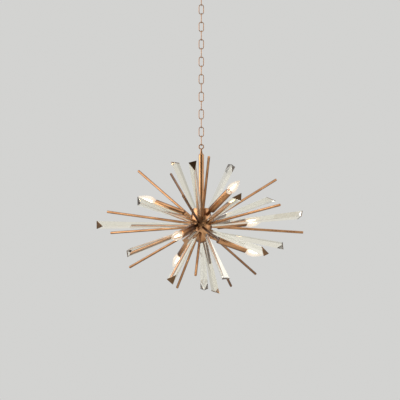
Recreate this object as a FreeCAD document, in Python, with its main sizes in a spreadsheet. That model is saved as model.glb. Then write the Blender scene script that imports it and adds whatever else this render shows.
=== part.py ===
import FreeCAD, Part
import math
import Sketcher
import os

# Sputnik chandelier hung from a link chain.  Units are millimetres.
# Frame: the origin is the middle of the ceiling bracket's top face, +Z is up,
# +X is to the right and +Y is away from someone who stands in front of it.
# The canopy, the chain and the burst of arms all hang below, at negative Z.

doc = FreeCAD.newDocument("chandelier")
sheet = doc.addObject("Spreadsheet::Sheet", "Sizes")

SIZES = [
    # alias, value, what it measures
    ("bracket_length", 100.0, "ceiling bracket, end to end"),
    ("bracket_width", 24.0, "ceiling bracket, across"),
    ("bracket_thickness", 2.5, "bracket strip"),
    ("slot_spacing", 70.0, "between the centres of the two fixing slots"),
    ("slot_width", 5.5, "fixing slot, across"),
    ("slot_length", 14.0, "fixing slot, overall"),
    ("nipple_diameter", 10.0, "threaded hanging nipple"),
    ("nipple_bore", 5.6, "wire way through the nipple"),
    ("locknut_flats", 17.0, "lock nut across its flats"),
    ("locknut_height", 5.0, "lock nut"),
    ("canopy_radius", 60.0, "canopy, outside"),
    ("canopy_depth", 30.0, "canopy, rim to lower face"),
    ("canopy_wall", 1.2, "canopy sheet"),
    ("canopy_corner", 9.0, "canopy, outside corner radius"),
    ("canopy_top_gap", 0.5, "canopy rim to ceiling"),
    ("collar_diameter", 25.0, "threaded collar of the hook loop"),
    ("collar_clearance", 0.8, "canopy hole round the collar, on the radius"),
    ("ring_nut_diameter", 36.0, "knurled nut under the canopy"),
    ("ring_nut_height", 6.0, "knurled nut"),
    ("fit_gap", 0.3, "clearance of every running or screwed fit"),
    ("chain_gap", 0.4, "between a link and the wire that carries it"),
    ("hook_drop", 72.0, "ceiling to the wire that carries the first link"),
    ("hook_wire", 4.0, "wire of the hook loop and of the stem eye"),
    ("hook_ring_radius", 8.5, "wire centre line of both rings"),
    ("link_count", 18.0, "chain links"),
    ("link_length", 40.0, "chain link, outside"),
    ("link_width", 20.0, "chain link, outside"),
    ("link_wire", 3.0, "chain wire"),
    ("stem_diameter", 20.0, "stem tube, outside"),
    ("stem_wall", 1.5, "stem tube"),
    ("stem_length", 203.0, "stem tube"),
    ("eye_neck", 24.0, "tapered neck between the eye and the stem tube"),
    ("spigot_length", 14.0, "plug of the eye inside the stem tube"),
    ("hub_radius", 40.0, "hub at its middle"),
    ("hub_top_radius", 33.0, "hub at its flat top"),
    ("hub_half_height", 65.0, "hub middle to its top and to its bottom"),
    ("hub_nose_radius", 27.0, "round end of the hub, below"),
    ("lid_thickness", 4.0, "lid on the hub"),
    ("reach_long", 388.0, "hub centre to the tip of a long arm"),
    ("reach_short", 300.0, "hub centre to the tip of a short arm"),
    ("rod_diameter", 9.5, "metal rod"),
    ("prism_root_side", 17.0, "side of the glass triangle beside the hub"),
    ("prism_tip_side", 30.0, "side of the glass triangle at the tip"),
    ("prism_slant", 23.0, "how far the slanted cut runs along the prism"),
    ("cap_thickness", 2.5, "metal cap on the slanted cut"),
    ("lamp_spacer_diameter", 12.0, "spacer between hub and candle tube"),
    ("candle_start", 74.0, "hub axis to the foot of the candle tube"),
    ("candle_diameter", 27.0, "candle tube, outside"),
    ("candle_wall", 1.2, "candle tube"),
    ("candle_end", 196.0, "hub axis to the mouth of the candle tube"),
    ("holder_length", 42.0, "lampholder"),
    ("holder_clearance", 0.8, "between the lampholder and the candle tube"),
    ("bulb_cap_diameter", 14.0, "screw cap of the bulb"),
    ("bulb_cap_length", 24.0, "screw cap of the bulb"),
    ("bulb_diameter", 35.0, "candle bulb at its widest"),
    ("bulb_length", 77.0, "glass of the bulb"),
]
for row, (alias, value, meaning) in enumerate(SIZES, start=1):
    sheet.set("A%d" % row, meaning)
    sheet.set("B%d" % row, "%g" % value)
    sheet.setAlias("B%d" % row, alias)
doc.recompute()


def size(alias):
    """The value that the sheet holds under this alias."""
    return float(sheet.get(alias))


# Arms of the burst: azimuth and elevation in degrees, then the height in mm at
# which the arm's axis leaves the hub axis.  Azimuth 0 is +X and 90 is +Y.
LONG, SHORT = "reach_long", "reach_short"
RODS = {
    "upper": [
        (141.5, 37.0, 0, LONG),
        (112.5, 37.0, 0, LONG),
        (275.0, 35.0, -3, LONG),
        (30.5, 30.5, 0, LONG),
    ],
    "middle": [
        (318.5, 7.5, 0, LONG),
        (6.5, -3.0, 0, LONG),
        (153.5, -1.0, -2, LONG),
        (160.0, 9.5, 4, LONG),
        (260.0, 10.5, 0, LONG),
        (280.5, -14.0, 0, LONG),
    ],
    "lower": [
        (53.5, -24.0, 0, LONG),
        (69.5, -31.5, 0, LONG),
        (264.5, -43.0, 0, SHORT),
        (117.0, -47.0, 0, SHORT),
        (139.5, -20.5, 0, LONG),
    ],
}
# A prism also has a roll: the angle from "up" of its front edge, the one that
# the slanted cut makes shortest.
PRISMS = {
    "upper": [
        (129.5, 59.0, 0, SHORT, 0),
        (262.5, 42.0, 3, SHORT, 201),
        (65.5, 43.0, 0, LONG, 30),
        (290.5, 10.0, 0, LONG, 83),
        (42.5, 19.0, 0, LONG, -10),
        (233.5, 7.5, 5, LONG, 120),
    ],
    "middle": [
        (342.5, 4.0, 0, LONG, 228),
        (35.5, -5.0, -16, LONG, 75),
        (178.0, 0.5, 0, LONG, -108),
        (261.5, -13.0, -9, LONG, 72),
    ],
    "lower": [
        (327.0, -20.5, -8, SHORT, 22),
        (294.5, -46.0, 0, SHORT, 177),
        (73.5, -52.0, 0, SHORT, 210),
        (88.0, -33.5, 0, LONG, 180),
        (238.5, -46.5, 0, SHORT, -63),
        (193.5, -20.5, 0, SHORT, 50),
    ],
}
LAMPS = [
    (306.0, 28.0, 20),
    (245.5, -18.0, 12),
    (119.0, -33.5, 12),
    (161.5, 22.0, 20),
    (28.0, -15.0, -30),
    (30.5, 8.0, -6),
]

# Heights that follow from the sheet, from the ceiling down.
gap = size("fit_gap")
LINKS = int(size("link_count"))
link_pitch = size("link_length") - 2 * size("link_wire") - size("chain_gap")
collar_top = -(size("bracket_thickness") + 6 + gap + size("locknut_height") + gap)
canopy_bottom = -(size("canopy_top_gap") + size("canopy_depth"))
ring_nut_top = canopy_bottom - gap
collar_bottom = ring_nut_top - size("ring_nut_height") - 4
hook_height = -size("hook_drop")
first_rise = size("hook_wire") / 2 + size("chain_gap") + size("link_wire") / 2
first_foot = hook_height + first_rise - (size("link_length") - size("link_wire"))
eye_height = first_foot - (LINKS - 1) * link_pitch
eye_wire_height = eye_height + first_rise
eye_ring_centre = eye_wire_height - size("hook_ring_radius")
eye_ring_foot = eye_ring_centre - size("hook_ring_radius")
stem_top = eye_ring_foot - size("eye_neck")
hub_top = stem_top - size("stem_length")
hub_height = hub_top - size("hub_half_height")
hub_centre = FreeCAD.Vector(0, 0, hub_height)


def add(name, shape, placement=None):
    """A sub-part as a document feature; the shape is drawn at its own origin."""
    feature = doc.addObject("Part::Feature", name)
    feature.Label = name
    feature.Shape = shape
    if placement is not None:
        feature.Placement = placement
    return feature


def at(x, y, z, rotation=None):
    return FreeCAD.Placement(FreeCAD.Vector(x, y, z), rotation or FreeCAD.Rotation())


def bind(feature, **expressions):
    for name, expression in expressions.items():
        feature.setExpression(name, expression)


def cylinder(name, radius, height, placement=None):
    """A cylinder whose radius and height are expressions on the sheet."""
    feature = doc.addObject("Part::Cylinder", name)
    bind(feature, Radius=radius, Height=height)
    if placement is not None:
        feature.Placement = placement
    return feature


def cut(name, base, tool, placement=None):
    feature = doc.addObject("Part::Cut", name)
    feature.Label = name
    feature.Base = base
    feature.Tool = tool
    if placement is not None:
        feature.Placement = placement
    return feature


def revolve(points):
    """Solid of revolution of a closed outline of (radius, height) points."""
    corners = [FreeCAD.Vector(radius, 0, height) for radius, height in points]
    outline = Part.Face(Part.makePolygon(corners + corners[:1]))
    return outline.revolve(FreeCAD.Vector(0, 0, 0), FreeCAD.Vector(0, 0, 1), 360)


def eight_sided_wire(path, thickness):
    """The wire of a link or ring: an eight-sided bar as thick as the wire, swept along a path."""
    start = path.Edges[0]
    point = start.valueAt(start.FirstParameter)
    along = start.tangentAt(start.FirstParameter)
    sideways = FreeCAD.Vector(0, 1, 0)
    upright = along.cross(sideways)
    corner_radius = thickness / 2 / math.cos(math.radians(22.5))
    corners = []
    for step in range(8):
        angle = math.radians(22.5 + 45 * step)
        offset = sideways * math.cos(angle) + upright * math.sin(angle)
        corners.append(point + offset * corner_radius)
    section = Part.makePolygon(corners + corners[:1])
    sweep = Part.BRepOffsetAPI.MakePipeShell(path)
    sweep.setBiNormalMode(FreeCAD.Vector(0, 1, 0))
    sweep.add(section)
    sweep.build()
    sweep.makeSolid()
    return sweep.shape()


# ---- Ceiling bracket: a strip with two slots and a threaded boss ----
bracket = doc.addObject("PartDesign::Body", "ceiling_bracket")
bracket.Label = "ceiling_bracket"
role = {feature.Role: feature for feature in bracket.Origin.OriginFeatures}


def rectangle(sketch, x, y, length, width, names):
    """A rectangle about (x, y); its length and width follow the sheet."""
    first = sketch.GeometryCount
    left, right = x - length / 2, x + length / 2
    low, high = y - width / 2, y + width / 2
    corners = [(left, low), (right, low), (right, high), (left, high)]
    for index in range(4):
        start = FreeCAD.Vector(*corners[index], 0)
        end = FreeCAD.Vector(*corners[(index + 1) % 4], 0)
        sketch.addGeometry(Part.LineSegment(start, end))
    for index in range(4):
        sketch.addConstraint(Sketcher.Constraint("Coincident", first + index, 2, first + (index + 1) % 4, 1))
    for index, kind in enumerate(["Horizontal", "Vertical", "Horizontal", "Vertical"]):
        sketch.addConstraint(Sketcher.Constraint(kind, first + index))
    sketch.addConstraint(Sketcher.Constraint("Symmetric", first, 1, first + 1, 2, -1, 1))
    along = sketch.addConstraint(Sketcher.Constraint("DistanceX", first, 1, first, 2, length))
    across = sketch.addConstraint(Sketcher.Constraint("DistanceY", first + 1, 1, first + 1, 2, width))
    sketch.setExpression("Constraints[%d]" % along, names[0])
    sketch.setExpression("Constraints[%d]" % across, names[1])


strip_sketch = bracket.newObject("Sketcher::SketchObject", "strip_sketch")
strip_sketch.AttachmentSupport = [(role["XY_Plane"], "")]
strip_sketch.MapMode = "FlatFace"
rectangle(strip_sketch, 0, 0, size("bracket_length"), size("bracket_width"),
          ("Sizes.bracket_length", "Sizes.bracket_width"))
strip = bracket.newObject("PartDesign::Pad", "strip")
strip.Profile = strip_sketch
bind(strip, Length="Sizes.bracket_thickness")
strip.Reversed = True
doc.recompute()

boss_sketch = bracket.newObject("Sketcher::SketchObject", "boss_sketch")
boss_sketch.AttachmentSupport = [(role["XY_Plane"], "")]
boss_sketch.MapMode = "FlatFace"
boss_circle = Part.Circle(FreeCAD.Vector(0, 0, 0), FreeCAD.Vector(0, 0, 1), 9)
boss_sketch.addGeometry(boss_circle)
boss_sketch.addConstraint(Sketcher.Constraint("Coincident", 0, 3, -1, 1))
boss_size = boss_sketch.addConstraint(Sketcher.Constraint("Radius", 0, 9.0))
boss_sketch.setExpression("Constraints[%d]" % boss_size, "Sizes.nipple_diameter / 2 + 4")
boss = bracket.newObject("PartDesign::Pad", "boss")
boss.Profile = boss_sketch
bind(boss, Length="Sizes.bracket_thickness + 6")
boss.Reversed = True
doc.recompute()

hole_sketch = bracket.newObject("Sketcher::SketchObject", "hole_sketch")
hole_sketch.AttachmentSupport = [(role["XY_Plane"], "")]
hole_sketch.MapMode = "FlatFace"
hole_sketch.addGeometry(Part.Circle(FreeCAD.Vector(0, 0, 0), FreeCAD.Vector(0, 0, 1), 5))
hole_sketch.addConstraint(Sketcher.Constraint("Coincident", 0, 3, -1, 1))
hole_size = hole_sketch.addConstraint(Sketcher.Constraint("Radius", 0, 5.0))
hole_sketch.setExpression("Constraints[%d]" % hole_size, "Sizes.nipple_diameter / 2 + Sizes.fit_gap")
half_run = (size("slot_length") - size("slot_width")) / 2
for side in (-1, 1):
    first = hole_sketch.GeometryCount
    middle = side * size("slot_spacing") / 2
    radius = size("slot_width") / 2
    near, far = middle - half_run, middle + half_run
    quarter = math.pi / 2
    hole_sketch.addGeometry(Part.ArcOfCircle(
        Part.Circle(FreeCAD.Vector(far, 0, 0), FreeCAD.Vector(0, 0, 1), radius), -quarter, quarter))
    hole_sketch.addGeometry(Part.LineSegment(FreeCAD.Vector(far, radius, 0), FreeCAD.Vector(near, radius, 0)))
    hole_sketch.addGeometry(Part.ArcOfCircle(
        Part.Circle(FreeCAD.Vector(near, 0, 0), FreeCAD.Vector(0, 0, 1), radius), quarter, 3 * quarter))
    hole_sketch.addGeometry(Part.LineSegment(FreeCAD.Vector(near, -radius, 0), FreeCAD.Vector(far, -radius, 0)))
    for index in range(4):
        following = first + (index + 1) % 4
        hole_sketch.addConstraint(Sketcher.Constraint("Tangent", first + index, 2, following, 1))
    for centre in (first, first + 2):
        hole_sketch.addConstraint(Sketcher.Constraint("PointOnObject", centre, 3, -1))
    width = hole_sketch.addConstraint(Sketcher.Constraint("Radius", first, radius))
    hole_sketch.setExpression("Constraints[%d]" % width, "Sizes.slot_width / 2")
    for centre, sign in ((first, 1), (first + 2, -1)):
        reach = side * size("slot_spacing") / 2 + sign * half_run
        place = hole_sketch.addConstraint(Sketcher.Constraint("DistanceX", -1, 1, centre, 3, reach))
        hole_sketch.setExpression(
            "Constraints[%d]" % place,
            "%d * Sizes.slot_spacing / 2 + %d * (Sizes.slot_length - Sizes.slot_width) / 2" % (side, sign))
holes = bracket.newObject("PartDesign::Pocket", "holes")
holes.Profile = hole_sketch
holes.Type = "ThroughAll"
holes.Midplane = True
bracket.Tip = holes
doc.recompute()

# ---- Hanging nipple: a threaded tube, with its lock nut ----
nipple_top = -0.5
nipple_foot = collar_bottom + 4
nipple_length = nipple_top - nipple_foot
nipple = add("hanger_nipple", Part.makeCylinder(size("nipple_diameter") / 2, nipple_length).cut(
    Part.makeCylinder(size("nipple_bore") / 2, nipple_length)), at(0, 0, nipple_foot))

nut_body = doc.addObject("Part::Prism", "locknut_hexagon")
nut_body.Polygon = 6
bind(nut_body, Circumradius="Sizes.locknut_flats / sqrt(3)", Height="Sizes.locknut_height")
nut_hole = cylinder("locknut_hole", "Sizes.nipple_diameter / 2 + Sizes.fit_gap", "Sizes.locknut_height")
locknut_height = -(size("bracket_thickness") + 6 + size("locknut_height"))
cut("nipple_locknut", nut_body, nut_hole, at(0, 0, locknut_height))

# ---- Terminal block on the underside of the strip ----
block_size = (26.0, 15.0, 12.0)
block = Part.makeBox(*block_size)
for lane in range(3):
    way = Part.makeCylinder(1.8, block_size[1], FreeCAD.Vector(5 + 8 * lane, 0, 6), FreeCAD.Vector(0, 1, 0))
    block = block.cut(way)
add("terminal_block", block, at(17, -block_size[1] / 2, -size("bracket_thickness") - block_size[2]))

# ---- Canopy: a spun cup with a hole for the collar ----
outer, wall, depth = size("canopy_radius"), size("canopy_wall"), size("canopy_depth")
corner = size("canopy_corner")
canopy_hole = size("collar_diameter") / 2 + size("collar_clearance")


def cup(radius, corner_radius, top, bottom):
    """A round cup-shaped solid: straight side, one corner rounded in four flats, flat bottom."""
    outline = [(0, top), (radius, top)]
    for step in range(5):
        angle = math.radians(22.5 * step)
        across = radius - corner_radius * (1 - math.cos(angle))
        outline.append((across, bottom + corner_radius * (1 - math.sin(angle))))
    return revolve(outline + [(0, bottom)])


shell = cup(outer, corner, 0, -depth).cut(cup(outer - wall, corner - wall, 1, -depth + wall))
shell = shell.cut(Part.makeCylinder(canopy_hole, 4 * wall, FreeCAD.Vector(0, 0, -depth - wall)))
add("canopy", shell, at(0, 0, -size("canopy_top_gap")))

ring_body = cylinder("ring_nut_body", "Sizes.ring_nut_diameter / 2", "Sizes.ring_nut_height")
ring_hole = cylinder("ring_nut_hole", "Sizes.collar_diameter / 2 + Sizes.fit_gap", "Sizes.ring_nut_height")
cut("canopy_ring_nut", ring_body, ring_hole, at(0, 0, ring_nut_top - size("ring_nut_height")))

# ---- Hook loop: a collar that takes the ring nut, a neck and a ring ----
ring_radius = size("hook_ring_radius")
wire_radius = size("hook_wire") / 2


quarter_turn = FreeCAD.Rotation(FreeCAD.Vector(0, 0, 1), 90)


def ring(centre_height):
    """An upright ring in the XZ plane, its centre at this height."""
    top = FreeCAD.Vector(0, 0, centre_height + ring_radius)
    side = FreeCAD.Vector(ring_radius, 0, centre_height)
    foot = FreeCAD.Vector(0, 0, centre_height - ring_radius)
    other = FreeCAD.Vector(-ring_radius, 0, centre_height)
    path = Part.Wire([Part.Arc(top, side, foot).toShape(), Part.Arc(foot, other, top).toShape()])
    return eight_sided_wire(path, 2 * wire_radius)


hook_ring_centre = hook_height + ring_radius
hook_ring_top = hook_ring_centre + ring_radius
collar = revolve([
    (0, hook_ring_top - wire_radius / 2),
    (3.2, hook_ring_top - wire_radius / 2),
    (3.6, collar_bottom - 5),
    (size("collar_diameter") / 2 - 3, collar_bottom),
    (size("collar_diameter") / 2, collar_bottom + 2),
    (size("collar_diameter") / 2, collar_top),
    (0, collar_top),
])
nipple_seat = Part.makeCylinder(size("nipple_diameter") / 2 + gap, 60, FreeCAD.Vector(0, 0, nipple_foot))
hook_ring = ring(hook_ring_centre)
if LINKS % 2 == 0:
    hook_ring.Placement = at(0, 0, 0, quarter_turn)
add("hook_loop", collar.fuse(hook_ring).cut(nipple_seat).removeSplitter())

# ---- Chain: every link hangs a quarter turn from the one above, and the last
# one is edge-on to the stem eye ----
crown_radius = (size("link_width") - size("link_wire")) / 2
straight_half = (size("link_length") - size("link_width")) / 2
link_foot = -(straight_half + crown_radius)


def chain_link():
    """One link in the XZ plane, centred on the origin."""
    def point(x, z):
        return FreeCAD.Vector(x, 0, z)

    right_low, right_high = point(crown_radius, -straight_half), point(crown_radius, straight_half)
    left_low, left_high = point(-crown_radius, -straight_half), point(-crown_radius, straight_half)
    path = Part.Wire([
        Part.makeLine(right_low, right_high),
        Part.Arc(right_high, point(0, straight_half + crown_radius), left_high).toShape(),
        Part.makeLine(left_high, left_low),
        Part.Arc(left_low, point(0, link_foot), right_low).toShape(),
    ])
    return eight_sided_wire(path, size("link_wire"))


link_shape = chain_link()
for number in range(1, LINKS + 1):
    foot = first_foot - (number - 1) * link_pitch
    turned = FreeCAD.Rotation() if (LINKS - number) % 2 else quarter_turn
    add("chain_link_%02d" % number, link_shape.copy(), at(0, 0, foot - link_foot, turned))

# ---- Stem: an eye on a tapered neck, and the tube ----
stem_radius = size("stem_diameter") / 2
bore_radius = stem_radius - size("stem_wall")
neck = revolve([
    (0, eye_ring_foot + wire_radius / 2),
    (3.0, eye_ring_foot + wire_radius / 2),
    (3.4, eye_ring_foot - 6),
    (5.6, stem_top + 6),
    (stem_radius, stem_top + 2),
    (stem_radius, stem_top),
    (bore_radius - gap, stem_top),
    (bore_radius - gap, stem_top - size("spigot_length")),
    (0, stem_top - size("spigot_length")),
])
add("stem_eye", neck.fuse(ring(eye_ring_centre)).removeSplitter())

tube_outside = cylinder("stem_outside", "Sizes.stem_diameter / 2", "Sizes.stem_length")
tube_bore = cylinder("stem_bore", "Sizes.stem_diameter / 2 - Sizes.stem_wall", "Sizes.stem_length")
cut("stem_tube", tube_outside, tube_bore, at(0, 0, hub_top))

# ---- Hub: a turned acorn, flat on top and egg-shaped below, with a lid ----
hub_radius, top_radius = size("hub_radius"), size("hub_top_radius")
half_height, lid = size("hub_half_height"), size("lid_thickness")
flare = (half_height ** 2 + (hub_radius - top_radius) ** 2) / (2 * (hub_radius - top_radius))


def side_radius(height):
    """Radius of the hub at a height over its middle, above the widest place."""
    return hub_radius - flare + math.sqrt(flare ** 2 - height ** 2)


def side_point(height):
    return FreeCAD.Vector(side_radius(height), 0, height)


# below its widest place the hub is a long curve that runs into a round nose
nose = size("hub_nose_radius")
nose_height = half_height - nose
belly = (hub_radius ** 2 + nose_height ** 2 - nose ** 2) / (2 * (hub_radius - nose))
to_nose = math.atan2(nose_height, belly - hub_radius)


def on_arc(centre, radius, angle):
    """A point of an arc in the XZ plane; the angle runs down from the X axis."""
    return centre + FreeCAD.Vector(radius * math.cos(angle), 0, -radius * math.sin(angle))


belly_centre, nose_centre = FreeCAD.Vector(hub_radius - belly, 0, 0), FreeCAD.Vector(0, 0, -nose_height)
joint = on_arc(nose_centre, nose, to_nose)
belly_arc = Part.Arc(joint, on_arc(belly_centre, belly, to_nose / 2), side_point(0)).toShape()
nose_middle = on_arc(nose_centre, nose, (to_nose + math.pi / 2) / 2)
nose_arc = Part.Arc(on_arc(nose_centre, nose, math.pi / 2), nose_middle, joint).toShape()
shoulder = half_height - lid
hub_edges = [
    nose_arc,
    belly_arc,
    Part.Arc(side_point(0), side_point(shoulder / 2), side_point(shoulder)).toShape(),
    Part.makeLine(side_point(shoulder), FreeCAD.Vector(0, 0, shoulder)),
    Part.makeLine(FreeCAD.Vector(0, 0, shoulder), FreeCAD.Vector(0, 0, -half_height)),
]
hub_face = Part.Face(Part.Wire(Part.__sortEdges__(hub_edges)))
hub_solid = hub_face.revolve(FreeCAD.Vector(0, 0, 0), FreeCAD.Vector(0, 0, 1), 360)
add("hub_body", hub_solid, at(0, 0, hub_height))

lid_rim = side_radius(half_height)
lid_solid = revolve([
    (0, shoulder),
    (side_radius(shoulder), shoulder),
    (lid_rim, half_height - 1),
    (lid_rim - 1, half_height),
    (0, half_height),
])
add("hub_lid", lid_solid, at(0, 0, hub_height))
core = hub_solid.fuse(lid_solid)


# ---- Arms ----
def arm_placement(azimuth, elevation, rise, roll=0.0):
    """Z runs out along the arm; X is the arm's own 'up', turned by the roll."""
    turn, lift = math.radians(azimuth), math.radians(elevation)
    out = FreeCAD.Vector(math.cos(lift) * math.cos(turn), math.cos(lift) * math.sin(turn), math.sin(lift))
    up = FreeCAD.Vector(-math.sin(lift) * math.cos(turn), -math.sin(lift) * math.sin(turn), math.cos(lift))
    side = out.cross(up)
    angle = math.radians(roll)
    front = up * math.cos(angle) + side * math.sin(angle)
    rotation = FreeCAD.Rotation(front, out.cross(front), out, "ZXY")
    return FreeCAD.Placement(FreeCAD.Vector(0, 0, rise), rotation)


def seated(shape, placement):
    """An arm drawn along Z, put in its direction and trimmed to the hub's surface."""
    moved = shape.copy()
    moved.Placement = placement
    trimmed = moved.cut(core)
    solids = sorted(trimmed.Solids, key=lambda solid: solid.Volume)
    return solids[-1]


inside = 15.0
for tier, arms in RODS.items():
    rods = []
    for azimuth, elevation, rise, reach in arms:
        length = size(reach) - inside
        rod = Part.makeCylinder(size("rod_diameter") / 2, length, FreeCAD.Vector(0, 0, inside))
        rods.append(seated(rod, arm_placement(azimuth, elevation, rise)))
    add("rods_" + tier, Part.makeCompound(rods), at(0, 0, hub_height))


def hull(lower, upper):
    """A solid with a triangle at each end, from two lists of three corners."""
    faces = [Part.Face(Part.makePolygon(lower + lower[:1])), Part.Face(Part.makePolygon(upper + upper[:1]))]
    for index in range(3):
        following = (index + 1) % 3
        side = [lower[index], lower[following], upper[following], upper[index], lower[index]]
        faces.append(Part.Face(Part.makePolygon(side)))
    return Part.makeSolid(Part.makeShell(faces))


def prism_pieces(reach):
    """A tapered glass prism with its end cut aslant, and the cap on that cut."""
    root_at, slant = 50.0, size("prism_slant")
    grow = (size("prism_tip_side") - size("prism_root_side")) / (reach - root_at)

    def edge_point(index, along):
        side = size("prism_root_side") + grow * (along - root_at)
        angle = math.radians(120 * index)
        spread = side / math.sqrt(3)
        return FreeCAD.Vector(spread * math.cos(angle), spread * math.sin(angle), along)

    root = [edge_point(index, inside) for index in range(3)]
    far = [edge_point(index, 2 * reach) for index in range(3)]
    # the front edge ends short and the two back edges run long
    ends = [reach - 2 * slant / 3, reach + slant / 3, reach + slant / 3]
    outer = [edge_point(index, ends[index]) for index in range(3)]
    normal = (outer[1] - outer[0]).cross(outer[2] - outer[0]).normalize()
    inner = []
    for index in range(3):
        run = far[index] - root[index]
        level = normal.dot(outer[0]) - size("cap_thickness")
        inner.append(root[index] + run * ((level - normal.dot(root[index])) / normal.dot(run)))
    return hull(root, inner), hull(inner, outer)


for tier, arms in PRISMS.items():
    glasses, caps = [], []
    for azimuth, elevation, rise, reach, roll in arms:
        glass, cap = prism_pieces(size(reach))
        placement = arm_placement(azimuth, elevation, rise, roll)
        glasses.append(seated(glass, placement))
        moved = cap.copy()
        moved.Placement = placement
        caps.append(moved)
    add("prisms_" + tier, Part.makeCompound(glasses), at(0, 0, hub_height))
    add("prism_caps_" + tier, Part.makeCompound(caps), at(0, 0, hub_height))

# ---- Lamps: a nipple out of the hub, a candle tube, a lampholder and a bulb ----
candle_start, candle_end = size("candle_start"), size("candle_end")
holder_mouth = candle_end - 2
holder_foot = holder_mouth - size("holder_length")
spacer_radius, thin_radius = size("lamp_spacer_diameter") / 2, size("lamp_spacer_diameter") / 2 - 1.5
nipples, holders = [], []
nipple_profile = revolve([
    (0, inside),
    (spacer_radius, inside),
    (spacer_radius, candle_start),
    (thin_radius, candle_start),
    (thin_radius, holder_foot),
    (0, holder_foot),
])
socket_radius = size("bulb_cap_diameter") / 2 + gap
socket_depth = size("bulb_cap_length") + gap
holder_radius = size("candle_diameter") / 2 - size("candle_wall") - size("holder_clearance")
holder = Part.makeCylinder(holder_radius, size("holder_length"), FreeCAD.Vector(0, 0, holder_foot))
socket = Part.makeCylinder(socket_radius, socket_depth, FreeCAD.Vector(0, 0, holder_mouth - socket_depth))
holder = holder.cut(socket)

bulb_radius, bulb_length = size("bulb_diameter") / 2, size("bulb_length")
glass_foot = holder_mouth + gap


# candle bulb from its foot: share of the widest radius, share of the length
BULB_PROFILE = [
    (0.54, 0.00),
    (0.80, 0.13),
    (1.00, 0.33),
    (0.92, 0.50),
    (0.60, 0.74),
    (0.22, 0.94),
    (0.08, 0.995),
]
outline = [(share * bulb_radius, height * bulb_length) for share, height in BULB_PROFILE]
bulb_solid = revolve([(0, 0)] + outline + [(0, bulb_length)])
cap_radius = size("bulb_cap_diameter") / 2
bulb_cap = revolve([
    (0, 0),
    (cap_radius, 0),
    (cap_radius, 5 - size("bulb_cap_length")),
    (3.5, 1 - size("bulb_cap_length")),
    (0, 1 - size("bulb_cap_length")),
])

for number, (azimuth, elevation, rise) in enumerate(LAMPS, start=1):
    local = arm_placement(azimuth, elevation, rise)
    nipples.append(seated(nipple_profile, local))
    moved = holder.copy()
    moved.Placement = local
    holders.append(moved)
    placement = FreeCAD.Placement(hub_centre, FreeCAD.Rotation()).multiply(local)
    tube = doc.addObject("Part::Cylinder", "candle_outside_%d" % number)
    bind(tube, Radius="Sizes.candle_diameter / 2", Height="Sizes.candle_end - Sizes.candle_start")
    tube_bore = doc.addObject("Part::Cylinder", "candle_bore_%d" % number)
    bind(tube_bore, Radius="Sizes.candle_diameter / 2 - Sizes.candle_wall",
         Height="Sizes.candle_end - Sizes.candle_start")
    bind(tube_bore, **{"Placement.Base.z": "Sizes.candle_wall"})
    open_tube = cut("candle_open_%d" % number, tube, tube_bore)
    foot_hole = doc.addObject("Part::Cylinder", "candle_foot_hole_%d" % number)
    bind(foot_hole, Radius="Sizes.lamp_spacer_diameter / 2 - 1.5 + Sizes.fit_gap",
         Height="2 * Sizes.candle_wall")
    seat = placement.multiply(at(0, 0, candle_start))
    cut("candle_tube_%d" % number, open_tube, foot_hole, seat)
    mouth = placement.multiply(at(0, 0, glass_foot))
    add("bulb_glass_%d" % number, bulb_solid.copy(), mouth)
    add("bulb_cap_%d" % number, bulb_cap.copy(), mouth)
add("lamp_nipples", Part.makeCompound(nipples), at(0, 0, hub_height))
add("lampholders", Part.makeCompound(holders), at(0, 0, hub_height))

# ---- Checks and export ----
doc.recompute()
NODES = ["ceiling_bracket", "hanger_nipple", "nipple_locknut", "terminal_block", "hook_loop",
         "canopy", "canopy_ring_nut"]
NODES += ["chain_link_%02d" % number for number in range(1, LINKS + 1)]
NODES += ["stem_eye", "stem_tube", "hub_body", "hub_lid", "lamp_nipples", "lampholders"]
for tier in ("upper", "middle", "lower"):
    NODES += ["rods_" + tier, "prisms_" + tier, "prism_caps_" + tier]
for number in range(1, len(LAMPS) + 1):
    NODES += ["candle_tube_%d" % number, "bulb_glass_%d" % number, "bulb_cap_%d" % number]

for item in doc.Objects:
    if "Invalid" in item.State or "Error" in item.State:
        raise RuntimeError("%s is in state %s" % (item.Label, item.State))
os.makedirs("parts", exist_ok=True)
for node in NODES:
    part = doc.getObjectsByLabel(node)[0]
    if part.Shape.isNull() or not part.Shape.isValid():
        raise RuntimeError("the shape of %s is not sound" % node)
    part.Shape.exportStep("parts/%s.step" % node)
print("nodes:", len(NODES), "hub height:", round(hub_height, 1))
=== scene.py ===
import math

import bmesh
import bpy
from mathutils import Matrix, Vector


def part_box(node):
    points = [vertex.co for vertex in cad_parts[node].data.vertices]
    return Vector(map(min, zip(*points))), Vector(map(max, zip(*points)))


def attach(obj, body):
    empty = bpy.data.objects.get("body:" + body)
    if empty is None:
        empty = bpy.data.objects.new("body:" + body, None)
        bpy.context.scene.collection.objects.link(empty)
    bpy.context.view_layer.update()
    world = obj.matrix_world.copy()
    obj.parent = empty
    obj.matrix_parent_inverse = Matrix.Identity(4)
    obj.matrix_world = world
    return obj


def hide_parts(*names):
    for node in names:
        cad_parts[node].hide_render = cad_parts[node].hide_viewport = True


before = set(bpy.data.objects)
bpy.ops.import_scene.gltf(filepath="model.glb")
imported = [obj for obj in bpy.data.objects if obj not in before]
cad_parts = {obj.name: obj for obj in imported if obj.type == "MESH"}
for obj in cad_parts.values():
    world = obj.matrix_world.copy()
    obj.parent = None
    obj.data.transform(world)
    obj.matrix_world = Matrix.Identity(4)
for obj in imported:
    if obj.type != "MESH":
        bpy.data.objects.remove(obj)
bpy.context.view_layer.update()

bl_info = {
    "name": "Sputnik chandelier",
    "version": (1, 0, 0),
    "blender": (4, 5, 0),
    "location": "View3D > Sidebar > Chandelier",
    "description": "Builds the chain, hub, rods, glass prisms and lamps of a chandelier",
    "category": "Object",
}

MM = 0.001

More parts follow.
